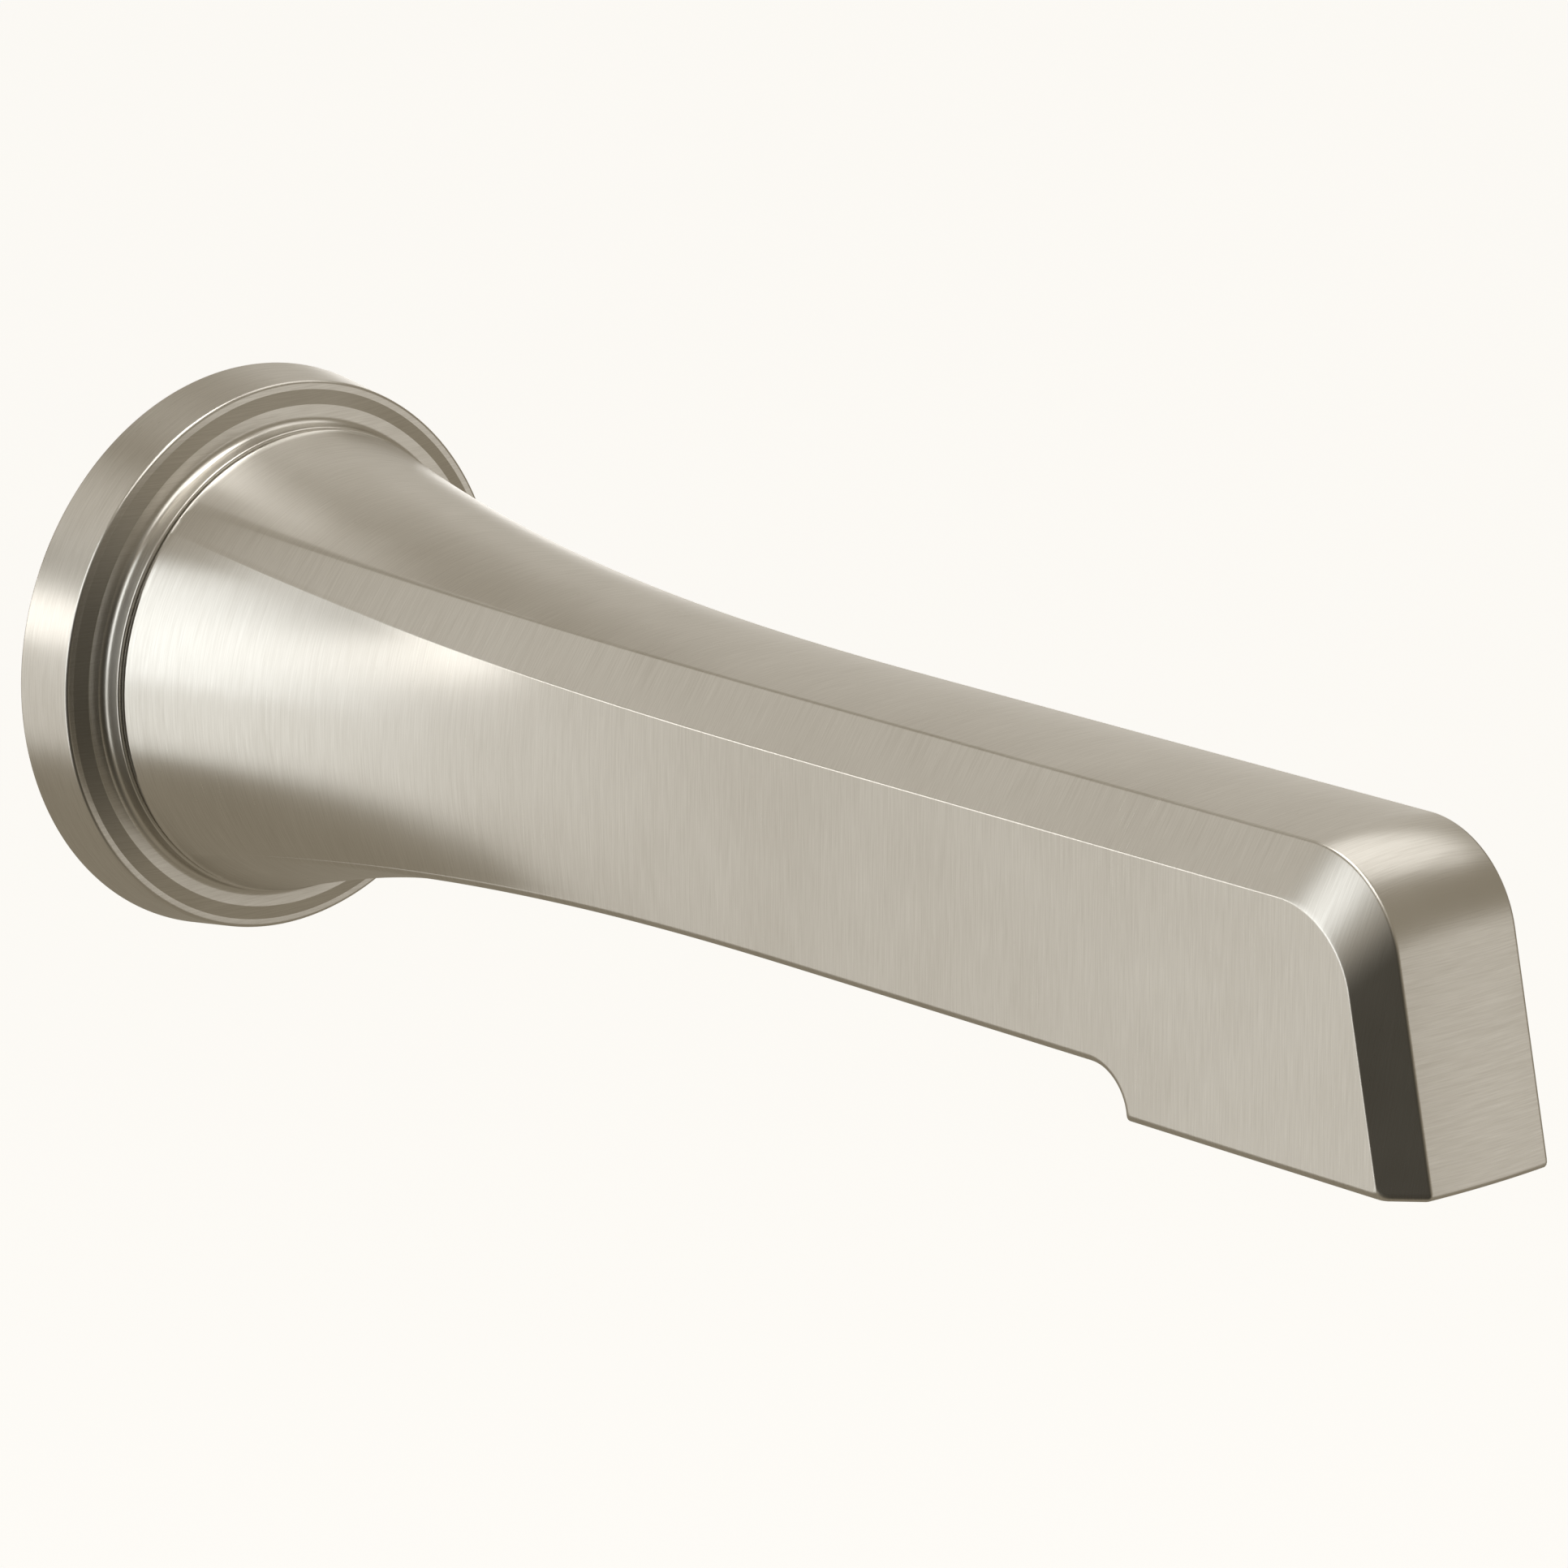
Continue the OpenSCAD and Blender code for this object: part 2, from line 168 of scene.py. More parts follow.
def sheet(bm, rings):
    """A sheet of grid faces laid through rows of points."""
    across, along = len(rings[0]) - 1, len(rings) - 1
    made = bmesh.ops.create_grid(bm, x_segments=across, y_segments=along, size=1)
    points = [p for ring in rings for p in ring]
    for vert, point in zip(made["verts"], points):
        vert.co = point
    return made["verts"]


def lathe(bm, line, axis="out", steps=192):
    """Turns a line of (radius, height) points into a closed skin round an axis. A line
    that starts and ends on the axis is a solid; any other line is closed first."""
    verts = [bm.verts.new((p[0], -p[1], 0) if axis == "out" else (p[0], 0, p[1])) for p in line]
    edges = [bm.edges.new(pair) for pair in zip(verts, verts[1:])]
    if line[0][0] > 0:
        edges.append(bm.edges.new((verts[-1], verts[0])))
    bmesh.ops.spin(
        bm,
        geom=verts + edges,
        cent=(0, 0, 0),
        axis=(0, 1, 0) if axis == "out" else (0, 0, 1),
        angle=TURN,
        steps=steps,
        use_merge=True,
    )


def tidy(bm):
    """Joins touching points and turns every face outwards."""
    bmesh.ops.remove_doubles(bm, verts=bm.verts, dist=0.002)
    bmesh.ops.dissolve_degenerate(bm, edges=bm.edges, dist=0.001)
    bmesh.ops.recalc_face_normals(bm, faces=bm.faces)


def fill_openings(bm):
    bmesh.ops.holes_fill(bm, edges=[e for e in bm.edges if e.is_boundary], sides=0)


def as_object(name, bm):
    """A mesh object in metres from a bmesh in millimetres."""
    tidy(bm)
    bmesh.ops.scale(bm, vec=(MM, MM, MM), verts=bm.verts)
    mesh = bpy.data.meshes.new(name)
    bm.to_mesh(mesh)
    bm.free()
    piece = bpy.data.objects.new(name, mesh)
    bpy.context.scene.collection.objects.link(piece)
    return piece


def carve(piece, cutter, operation="DIFFERENCE"):
    """Cuts, joins or trims a piece with another solid, which is used up."""
    cut = piece.modifiers.new("carve", "BOOLEAN")
    cut.operation = operation
    cut.solver = "EXACT"
    cut.object = cutter
    bpy.context.view_layer.update()
    seen = piece.evaluated_get(bpy.context.evaluated_depsgraph_get())
    mesh = bpy.data.meshes.new_from_object(seen)
    bm = bmesh.new()
    bm.from_mesh(mesh)
    bmesh.ops.remove_doubles(bm, verts=bm.verts, dist=0.001 * MM)
    bmesh.ops.dissolve_degenerate(bm, edges=bm.edges, dist=0.001 * MM)
    bm.to_mesh(mesh)
    bm.free()
    piece.modifiers.clear()
    old = piece.data
    piece.data = mesh
    bpy.data.meshes.remove(old)
    bpy.data.objects.remove(cutter)


def soften_shading(piece, angle=35):
    """Smooth shading that keeps flats flat and stays sharp past an angle."""
    piece.data.shade_smooth()
    piece.data.set_sharp_from_angle(angle=math.radians(angle))
    weighted = piece.modifiers.new("flat faces lead", "WEIGHTED_NORMAL")
    weighted.mode = "FACE_AREA"
    weighted.weight = 75
    weighted.keep_sharp = True


def fit_out(piece, material, body, slot, *nodes):
    """Finish, body and the CAD nodes that a piece stands for. The slot argument is not used."""
    soften_shading(piece)
    piece.data.materials.clear()
    piece.data.materials.append(material)
    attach(piece, body)
    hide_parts(*nodes)


def turned(name, line, axis="out", at=(0, 0, 0), steps=192):
    """A turned solid as an object, moved to its place."""
    bm = bmesh.new()
    lathe(bm, line, axis, steps)
    bmesh.ops.translate(bm, vec=at, verts=bm.verts)
    return as_object(name, bm)


def block(size, centre, turn=0):
    """A box as an object, turned about its own upright axis."""
    bm = bmesh.new()
    bmesh.ops.create_cube(bm, size=1)
    bmesh.ops.scale(bm, vec=size, verts=bm.verts)
    bmesh.ops.rotate(bm, matrix=Matrix.Rotation(turn, 3, "Z"), verts=bm.verts)
    bmesh.ops.translate(bm, vec=centre, verts=bm.verts)
    return as_object("block", bm)


def prism(sides, radius, low, high, at=(0, 0, 0)):
    """An upright prism or rod as an object."""
    bm = bmesh.new()
    bmesh.ops.create_cone(
        bm,
        cap_ends=True,
        segments=sides,
        radius1=radius,
        radius2=radius,
        depth=high - low,
        matrix=Matrix.Translation((at[0], at[1], (low + high) / 2)),
    )
    return as_object("prism", bm)


def thread(name, crest, root, pitch, low, high, along="up", at=(0, 0, 0), steps=48):
    """A threaded rod: a row of teeth turned once round while it climbs by one pitch,
    then trimmed flat at both ends."""
    bm = bmesh.new()
    teeth = math.ceil((high - low) / pitch) + 4
    start = low - 2 * pitch
    line = []
    for i in range(teeth):
        z = start + i * pitch
        line += [(root, z), (root, z + 0.12 * pitch), (crest, z + 0.44 * pitch)]
        line += [(crest, z + 0.56 * pitch), (root, z + 0.88 * pitch)]
    verts = [bm.verts.new((r, 0, z)) for r, z in line]
    edges = [bm.edges.new(pair) for pair in zip(verts, verts[1:])]
    bmesh.ops.spin(
        bm,
        geom=verts + edges,
        cent=(0, 0, 0),
        axis=(0, 0, 1),
        dvec=(0, 0, pitch / steps),
        angle=TURN,
        steps=steps,
        use_merge=False,
    )
    bmesh.ops.remove_doubles(bm, verts=bm.verts, dist=0.002)
    for height, side in ((low, -1), (high, 1)):
        bmesh.ops.bisect_plane(
            bm,
            geom=bm.verts[:] + bm.edges[:] + bm.faces[:],
            plane_co=(0, 0, height),
            plane_no=(0, 0, side),
            clear_outer=True,
        )
    fill_openings(bm)
    if along == "out":
        bmesh.ops.rotate(bm, matrix=Matrix.Rotation(math.pi / 2, 3, "X"), verts=bm.verts)
    bmesh.ops.translate(bm, vec=at, verts=bm.verts)
    return as_object(name, bm)


# ------------------------------------------------------------------ spout body


def straightness(out):
    """Share of the straight section in the flare: 0 at the round base, 1 at its end."""
    return 1 - (1 - (out - BASE_OUT) / (FLARE_END - BASE_OUT)) ** FLARE_POWER


def half_layers():
    """(x, drop below the top face, lift above the underside) from the middle outwards."""
    crest = HALF_WIDTH - CHAMFER_WIDTH
    line = eased(
        [
            (0, 0, 0),
            (crest, 0, UPPER_CREASE_EASE),
            (HALF_WIDTH, CHAMFER_HEIGHT, SIDE_CREASE_EASE),
            (HALF_WIDTH, 2 * CHAMFER_HEIGHT, 0),
        ]
    )[:-1]
    upper, side = line[1:7], line[7:]
    flat = [
        (x, -CROWN * (1 - (x / upper[0][0]) ** 2)) for x in spaced(0, upper[0][0], 10)
    ]
    edge_start = HALF_WIDTH - LOWER_EDGE
    chamfer_x = spaced(upper[-1][0], edge_start, 3)[1:] + [
        edge_start + LOWER_EDGE * math.sin(math.radians(a)) for a in (0, 15, 30, 45)
    ]
    run = (side[0][1] - upper[-1][1]) / (side[0][0] - upper[-1][0])
    chamfer = [(x, upper[-1][1] + run * (x - upper[-1][0])) for x in chamfer_x]
    layers = []
    for x, drop in flat + [tuple(p) for p in upper] + chamfer + [tuple(p) for p in side]:
        past = min(LOWER_EDGE, max(0.0, x - edge_start))
        layers.append((x, drop, LOWER_EDGE - math.sqrt(LOWER_EDGE**2 - past**2)))
    return layers, upper, side


def mirrored(layers):
    """The layers of both halves, from the left side to the right side."""
    return [(-x, drop, lift) for x, drop, lift in layers[:0:-1]] + layers


def flare_section(half, upper, side):
    """(x, z, angle on the round base in degrees from the top) round the straight section."""
    top_angles = [
        (0, 0),
        (upper[0][0], UPPER_CREASE_ANGLE - 1.6),
        (upper[-1][0], UPPER_CREASE_ANGLE + 1.6),
        (side[0][0], SIDE_CREASE_ANGLE - 0.9),
        (HALF_WIDTH, SIDE_CREASE_ANGLE + 0.9),
    ]
    low_angles = [
        (0, 180),
        (HALF_WIDTH - LOWER_EDGE, LOWER_EDGE_ANGLE + 1.5),
        (HALF_WIDTH, LOWER_EDGE_ANGLE - 1.5),
    ]
    top = [(x, TOP - drop, knots(x, top_angles)) for x, drop, _ in half]
    low = [(x, UNDER + lift, knots(x, low_angles)) for x, _, lift in half[::-1]]
    sides = 28
    right = [
        (HALF_WIDTH, lerp(top[-1][1], low[0][1], i / sides), lerp(top[-1][2], low[0][2], i / sides))
        for i in range(1, sides)
    ]
    run = top + right + low
    left = [(-x, z, 360 - angle) for x, z, angle in run[-2:0:-1]]
    return run + left + [run[0]]


def flare_rows(section):
    """Rows from the end of the hub's bore, round its mouth and over the flare."""

    def ring(out, radius, share=0.0):
        points = []
        for x, z, angle in section:
            a = math.radians(angle)
            points.append(
                (
                    lerp(radius * math.sin(a), x, share),
                    -out,
                    lerp(radius * math.cos(a), z, share),
                )
            )
        return points

    hub = eased(
        [
            (HUB_BORE, HUB_STOP, 0),
            (HUB_BORE, HUB_BACK, 0.3),
            (SPIGOT_RADIUS, HUB_BACK, 0.3),
            (SPIGOT_RADIUS, BASE_OUT, 0),
            (BASE_RADIUS, BASE_OUT, 0.45),
            (BASE_RADIUS, BASE_OUT + 0.6, 0),
        ]
    )
    rows = [ring(out, radius) for radius, out in hub[:-1]]
    start = BASE_OUT + 0.6
    count = 64
    for k in range(count + 1):
        out = lerp(start, FLARE_END, (k / count) ** 1.25)
        rows.append(ring(out, BASE_RADIUS, straightness(out)))
    return rows


def side_outline(x, drop, lift):
    """One lengthwise outline of the straight part and the tip."""
    share = drop / CHAMFER_HEIGHT
    top = TOP - drop
    low = TIP_UNDER
    radius = BEND_RADIUS - BEND_RADIUS_LOSS * share
    lean = FRONT_LEAN
    front = REACH - CHAMFER_WIDTH * share / math.cos(lean)
    bend_z = top - radius
    bend_out = front - ((bend_z - low) * math.sin(lean) + radius) / math.cos(lean)
    cove_radius = TIP_DROP + lift
    cove_out = TIP_BACK - TIP_DROP
    lip = 0.5
    foot = front - lift * math.tan(lean)

    line = [(FLARE_END, UNDER + lift)]
    cove_end = math.asin((lip + lift) / cove_radius)
    for i in range(15):
        a = lerp(math.pi / 2, cove_end, i / 14)
        line.append((cove_out + cove_radius * math.cos(a), low + cove_radius * math.sin(a)))
    corner = Vector((cove_out + cove_radius, low + lift))
    line += [tuple(p) for p in soft_corner(line[-1], corner, corner + Vector((lip, 0)))]
    corner = Vector((foot, low + lift))
    up = Vector((-math.sin(lean), math.cos(lean))) * LOWER_EDGE
    line += [tuple(p) for p in soft_corner(corner - Vector((LOWER_EDGE, 0)), corner, corner + up)]
    for i in range(25):
        a = lerp(lean, math.pi / 2, i / 24)
        line.append((bend_out + radius * math.cos(a), bend_z + radius * math.sin(a)))
    line.append((FLARE_END, top))
    return [(x, -out, z) for out, z in line]


def soft_corner(start, corner, end, steps=5):
    """A curve from start to end that leans toward the corner."""
    start, corner, end = Vector(start), Vector(corner), Vector(end)
    curve = []
    for i in range(steps + 1):
        t = i / steps
        curve.append(start.lerp(corner, t).lerp(corner.lerp(end, t), t))
    return curve


def flat_underside(bm):
    return [f for f in bm.faces if all(abs(v.co.z - TIP_UNDER) < 0.001 for v in f.verts)]


def cut_outlet_pocket(bm):
    """Sinks the pocket that takes the elbow's plate into the flat under the tip."""
    near, far = OUTLET_OUT - POCKET_HALF_LENGTH, OUTLET_OUT + POCKET_HALF_LENGTH
    cuts = [((s * POCKET_HALF_WIDTH, 0, 0), (1, 0, 0)) for s in (-1, 1)]
    cuts += [((0, -out, 0), (0, 1, 0)) for out in (near, far)]
    for point, facing in cuts:
        faces = flat_underside(bm)
        edges = list({e for f in faces for e in f.edges})
        verts = list({v for f in faces for v in f.verts})
        bmesh.ops.bisect_plane(
            bm, geom=verts + edges + faces, plane_co=point, plane_no=facing, dist=0.0005
        )
    floor = [
        f
        for f in flat_underside(bm)
        if abs(f.calc_center_median().x) < POCKET_HALF_WIDTH
        and near < -f.calc_center_median().y < far
    ]
    inside = set(floor)
    rim = [e for f in floor for e in f.edges if not all(g in inside for g in e.link_faces)]
    raised = bmesh.ops.extrude_face_region(bm, geom=floor)
    verts = [g for g in raised["geom"] if isinstance(g, bmesh.types.BMVert)]
    bmesh.ops.translate(bm, vec=(0, 0, POCKET_DEPTH), verts=verts)
    bmesh.ops.delete(bm, geom=floor, context="FACES")
    bmesh.ops.bevel(
        bm,
        geom=[e for e in rim if e.is_valid],
        offset=0.2,
        segments=2,
        profile=0.5,
        affect="EDGES",
        material=-1,
        clamp_overlap=True,
    )


def build_spout_body():
    half, upper, side = half_layers()
    layers = mirrored(half)
    bm = bmesh.new()
    sheet(bm, flare_rows(flare_section(half, upper, side)))
    sheet(bm, [side_outline(*layer) for layer in layers])
    bmesh.ops.remove_doubles(bm, verts=bm.verts, dist=0.002)
    fill_openings(bm)
    bmesh.ops.recalc_face_normals(bm, faces=bm.faces)
    cut_outlet_pocket(bm)
    body = as_object("spout_body_casting", bm)
    carve(body, prism(64, SET_SCREW_RADIUS + 0.05, -40, -HUB_BORE - 0.1, (0, -SET_SCREW_OUT)))
    pocket_top = TIP_UNDER + POCKET_DEPTH
    well_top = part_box("straightener_seal")[1][2] / MM + WELL_HEADROOM
    carve(body, prism(64, WELL_RADIUS, pocket_top - 0.5, well_top, (0, -OUTLET_OUT)))
    return body


# ------------------------------------------------------------------ flange and wall pieces


def build_wall_flange():
    collar = BASE_RADIUS + 0.3
    ledge = RIM_THICKNESS + 0.8
    bore = SPIGOT_RADIUS + 0.1
    line = eased(
        [
            (bore, 8.5, 0),
            (bore, ledge, 0.2),
            (collar - 1.6, ledge, 0.4),
            (collar - 1.6, COLLAR_TOP, 0.2),
            (collar, COLLAR_TOP, 0.3),
            (collar, ledge, 1.1),
            (RIM_RADIUS - 3.0, ledge, 0.2),
            (RIM_RADIUS - 1.1, RIM_THICKNESS, 0.12),
            (RIM_RADIUS, RIM_THICKNESS, 0.5),
            (FLANGE_RADIUS, 0, 0.3),
            (36.4, 0, 0.1),
            (36.4, 1.6, 0.1),
            (33.0, 1.6, 0.1),
            (33.0, 0, 0.1),
            (32.0, 0, 0.2),
            (32.0, 6.0, 1.2),
            (bore, 6.0, 0.2),
            (bore, 6.7, 0.1),
            (bore + 1.5, 6.7, 0.1),
            (bore + 1.5, 8.5, 0.1),
            (bore, 8.5, 0),
        ],
        steps=6,
    )[:-1]
    return turned("wall_flange_turned", line, steps=256)


def build_wall_gasket():
    line = eased(
        [
            (34.7, 0, 0),
            (33.05, 0, 0.35),
            (33.05, 1.6, 0.15),
            (36.35, 1.6, 0.15),
            (36.35, 0, 0.35),
            (34.7, 0, 0),
        ]
    )[:-1]
    return turned("wall_gasket_foam", line, steps=256)


def build_pipe_adapter():
    groove = 1.2
    barrel = [(0, 0.3, 0), (BARREL_RADIUS, 0.3, 0)]
    for out in (ADAPTER_LENGTH - 12, ADAPTER_LENGTH - 6):
        barrel += [
            (BARREL_RADIUS, out - groove, 0.1),
            (BARREL_RADIUS - 1.8, out - groove, 0.15),
            (BARREL_RADIUS - 1.8, out + groove, 0.15),
            (BARREL_RADIUS, out + groove, 0.1),
        ]
    barrel += [(BARREL_RADIUS, ADAPTER_LENGTH, 0.8), (0, ADAPTER_LENGTH, 0)]
    corner = HEX_ACROSS_FLATS / 2 / math.cos(math.pi / 6)
    hexagon = prism(6, corner, 0, HEX_THICKNESS)
    hexagon.data.transform(
        Matrix.Rotation(math.pi / 2, 4, "X") @ Matrix.Rotation(math.pi / 6, 4, "Z")
    )
    limit = [(0, 0), (14.1, 0), (corner, 0.85), (corner, 3.15), (14.1, 4.0), (0, 4.0)]
    carve(hexagon, turned("limit", limit, steps=96), "INTERSECT")
    carve(hexagon, turned("barrel", eased(barrel, steps=3), steps=128), "UNION")
    waterway = [
        (0, -1),
        (INLET_RADIUS + 1.6, -1),
        (INLET_RADIUS + 1.2, 0),
        (INLET_RADIUS, 1.2),
        (INLET_RADIUS, INLET_DEPTH),
        (INLET_RADIUS - 0.3, INLET_DEPTH),
        (INLET_RADIUS - 0.3, WASHER_SEAT_END),
        (6.0, WASHER_SEAT_END),
        (6.0, 35.0),
        (7.05, 35.0),
        (7.05, ADAPTER_LENGTH - 0.5),
        (7.55, ADAPTER_LENGTH),
        (7.55, ADAPTER_LENGTH + 1),
        (0, ADAPTER_LENGTH + 1),
    ]
    carve(hexagon, turned("waterway", waterway, steps=96))
    tap = thread(
        "tap",
        INLET_RADIUS + 1.05,
        INLET_RADIUS - 0.02,
        PIPE_PITCH,
        -0.5,
        INLET_DEPTH - 1.2,
        "out",
        steps=96,
    )
    carve(hexagon, tap)
    hexagon.name = "pipe_adapter_turned"
    return hexagon


# ------------------------------------------------------------------ screws and outlet


def build_set_screw():
    low, high = -HUB_BORE - 8.0, -HUB_BORE
    at = (0, -SET_SCREW_OUT, 0)
    screw = thread("set_screw_m6", SET_SCREW_RADIUS - 0.02, 2.45, 1.0, low, high, at=at)
    ends = [(0, low), (2.3, low), (3.2, low + 0.9), (3.2, high - 1.2), (1.9, high), (0, high)]
    carve(screw, turned("ends", ends, "up", at, steps=64), "INTERSECT")
    carve(screw, prism(6, 1.74, low - 1, low + 4, at))
    mouth = [(0, low - 0.2), (2.1, low - 0.2), (1.5, low + 0.4), (0, low + 0.4)]
    carve(screw, turned("mouth", mouth, "up", at, steps=64))
    return screw


def build_elbow_screw(name, side):
    seat = PLATE_Z + 1.6
    at = (0, -OUTLET_OUT - side * SCREW_OFFSET, 0)
    tip = seat + 9.8
    line = eased(
        [
            (0, seat - 1.5, 0),
            (1.6, seat - 1.5, 0.9),
            (2.2, seat - 0.9, 0.5),
            (2.2, seat, 0.1),
            (1.45, seat, 0.1),
            (1.45, tip - 1, 0.1),
            (0.5, tip, 0.1),
            (0, tip, 0),
        ]
    )
    screw = turned(name, line, "up", at, steps=72)
    for turn in (0, math.pi / 2):
        carve(screw, block((2.3, 0.52, 1.8), (at[0], at[1], seat - 1.5), turn))
    carve(screw, prism(32, 0.62, seat - 2.5, seat - 0.45, at))
    return screw


def build_straightener_shell():
    low, high = SHELL_Z, SHELL_Z + SHELL_HEIGHT
    at = (0, -OUTLET_OUT, 0)
    shell = thread(
        "straightener_housing",
        SHELL_RADIUS - 0.02,
        8.75,
        SHELL_PITCH,
        low + 2.2,
        high,
        at=at,
        steps=96,
    )
    rim = eased(
        [
            (0, low, 0),
            (SHELL_RADIUS, low, 0.35),
            (SHELL_RADIUS, low + 2.0, 0.2),
            (8.7, low + 2.4, 0.1),
            (8.7, low + 3.0, 0),
            (0, low + 3.0, 0),
        ]
    )
    carve(shell, turned("rim", rim, "up", at, steps=160), "UNION")
    inside = eased(
        [
            (0, low - 1, 0),
            (7.2, low - 1, 0),
            (6.5, low + 0.35, 0.3),
            (6.5, low + 1.1, 0.05),
            (SHELL_BORE, low + 1.1, 0),
            (SHELL_BORE, high + 1, 0),
            (0, high + 1, 0),
        ]
    )
    carve(shell, turned("inside", inside, "up", at, steps=160))
    for turn in (0, math.pi / 2):
        carve(shell, block((2 * SHELL_RADIUS + 2, 1.9, 1.2), (at[0], at[1], low), turn))
    return shell


def refined_copy(name, node, edge):
    """A copy of a CAD node's shape with its flats made whole and its edges softened."""
    bm = bmesh.new()
    bm.from_mesh(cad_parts[node].data)
    bmesh.ops.scale(bm, vec=(1 / MM, 1 / MM, 1 / MM), verts=bm.verts)
    tidy(bm)
    bmesh.ops.dissolve_limit(
        bm, angle_limit=math.radians(0.5), verts=bm.verts[:], edges=bm.edges[:]
    )
    piece = as_object(name, bm)
    soft = piece.modifiers.new("soft edges", "BEVEL")
    soft.width = edge * MM
    soft.segments = 2
    soft.limit_method = "ANGLE"
    soft.angle_limit = math.radians(50)
    return piece


# ------------------------------------------------------------------ material helpers


def place(tree, kind, settings=None, inputs=None):
    """A node with its settings, whose inputs are values or the sockets that feed them."""
    node = tree.nodes.new(kind)
    for key, value in (settings or {}).items():
        setattr(node, key, value)
    for key, value in (inputs or {}).items():
        socket = node.inputs[key]
        if isinstance(value, bpy.types.NodeSocket):
            tree.links.new(value, socket)
        else:
            socket.default_value = value
    return node


def effect(name, takes, gives):
    """An empty shader node group with named sockets."""
    tree = bpy.data.node_groups.new(name, "ShaderNodeTree")
    for label, kind, value in takes:
        socket = tree.interface.new_socket(label, in_out="INPUT", socket_type=kind)
        if value is not None:
            socket.default_value = value
    for label, kind in gives:
        tree.interface.new_socket(label, in_out="OUTPUT", socket_type=kind)
    return tree, tree.nodes.new("NodeGroupInput").outputs, tree.nodes.new("NodeGroupOutput").inputs


def give(tree, outputs, **sockets):
    for label, socket in sockets.items():
        tree.links.new(socket, outputs[label])


def maths(tree, operation, a, b=0.0):
    return place(tree, "ShaderNodeMath", {"operation": operation}, {0: a, 1: b}).outputs[0]


def vector_maths(tree, operation, a, b=(0, 0, 0)):
    return place(tree, "ShaderNodeVectorMath", {"operation": operation}, {0: a, 1: b}).outputs[0]


def noise(tree, vector, scale, detail=2.0, roughness=0.5):
    return place(
        tree,
        "ShaderNodeTexNoise",
        {},
        {"Vector": vector, "Scale": scale, "Detail": detail, "Roughness": roughness},
    ).outputs["Fac"]


def remapped(tree, value, low, high, to_low, to_high, kind="LINEAR"):
    node = place(
        tree,
        "ShaderNodeMapRange",
        {"interpolation_type": kind},
        {"Value": value, "From Min": low, "From Max": high, "To Min": to_low, "To Max": to_high},
    )
    return node.outputs["Result"]


def blended(tree, factor, a, b, kind="RGBA"):
    node = place(tree, "ShaderNodeMix", {"data_type": kind})
    slots = {"FLOAT": (2, 3, 0), "VECTOR": (4, 5, 1), "RGBA": (6, 7, 2)}[kind]
    fed = ((0, factor), (slots[0], a), (slots[1], b))
    for socket, value in [(node.inputs[i], value) for i, value in fed]:
        if isinstance(value, bpy.types.NodeSocket):
            tree.links.new(value, socket)
        else:
            socket.default_value = value
    return node.outputs[slots[2]]


# ------------------------------------------------------------------ shared effects


def make_brush_strokes():
    """Fine strokes of a brushing belt: across the spout on its sides, and level across
    every face that looks straight out from the wall."""
    tree, takes, gives = effect(
        "brush strokes",
        [
            ("Position", "NodeSocketVector", None),
            ("Facing", "NodeSocketVector", None),
            ("Stroke width", "NodeSocketFloat", 0.00022),
            ("Stroke length", "NodeSocketFloat", 0.005),
        ],
        [("Strokes", "NodeSocketFloat"), ("Passes", "NodeSocketFloat")],
    )
    fine = maths(tree, "DIVIDE", 1.0, takes["Stroke width"])
    coarse = maths(tree, "DIVIDE", 1.0, takes["Stroke length"])

    def stretched(x, y, z):
        scale = place(tree, "ShaderNodeCombineXYZ", {}, {"X": x, "Y": y, "Z": z}).outputs[0]
        return vector_maths(tree, "MULTIPLY", takes["Position"], scale)

    facing = place(tree, "ShaderNodeSeparateXYZ", {}, {0: takes["Facing"]}).outputs["Y"]
    outward = remapped(
        tree, maths(tree, "ABSOLUTE", facing), 0.75, 0.92, 0.0, 1.0, "SMOOTHSTEP"
    )
    across = stretched(coarse, fine, coarse)
    level = stretched(coarse, coarse, fine)
    vector = blended(tree, outward, across, level, "VECTOR")
    strokes = noise(tree, vector, 1.0, 3.0, 0.65)
    passes = noise(tree, vector, 0.22, 1.0, 0.5)
    give(tree, gives, Strokes=strokes, Passes=passes)
    return tree


def make_soft_clouds():
    """Slow patches where a finish is a little brighter or duller."""
    tree, takes, gives = effect(
        "soft clouds",
        [("Position", "NodeSocketVector", None), ("Patch size", "NodeSocketFloat", 0.02)],
        [("Clouds", "NodeSocketFloat")],
    )
    scale = maths(tree, "DIVIDE", 1.0, takes["Patch size"])
    give(tree, gives, Clouds=noise(tree, takes["Position"], scale, 2.0, 0.55))
    return tree


def make_turning_marks():
    """Rings left by a lathe round an axis. Across is 1 on the two directions that cross
    the axis and 0 along it."""
    tree, takes, gives = effect(
        "turning marks",
        [
            ("Position", "NodeSocketVector", None),
            ("Across", "NodeSocketVector", (1.0, 0.0, 1.0)),
            ("Mark width", "NodeSocketFloat", 0.00015),
        ],
        [("Marks", "NodeSocketFloat")],
    )
    radial = vector_maths(tree, "MULTIPLY", takes["Position"], takes["Across"])
    along = vector_maths(tree, "SUBTRACT", takes["Position"], radial)
    radius = place(tree, "ShaderNodeVectorMath", {"operation": "LENGTH"}, {0: radial}).outputs[
        "Value"
    ]
    height = place(tree, "ShaderNodeVectorMath", {"operation": "LENGTH"}, {0: along}).outputs[
        "Value"
    ]
    vector = place(tree, "ShaderNodeCombineXYZ", {}, {"X": radius, "Y": height}).outputs[0]
    scale = maths(tree, "DIVIDE", 1.0, takes["Mark width"])
    give(tree, gives, Marks=noise(tree, vector, scale, 2.0, 0.6))
    return tree


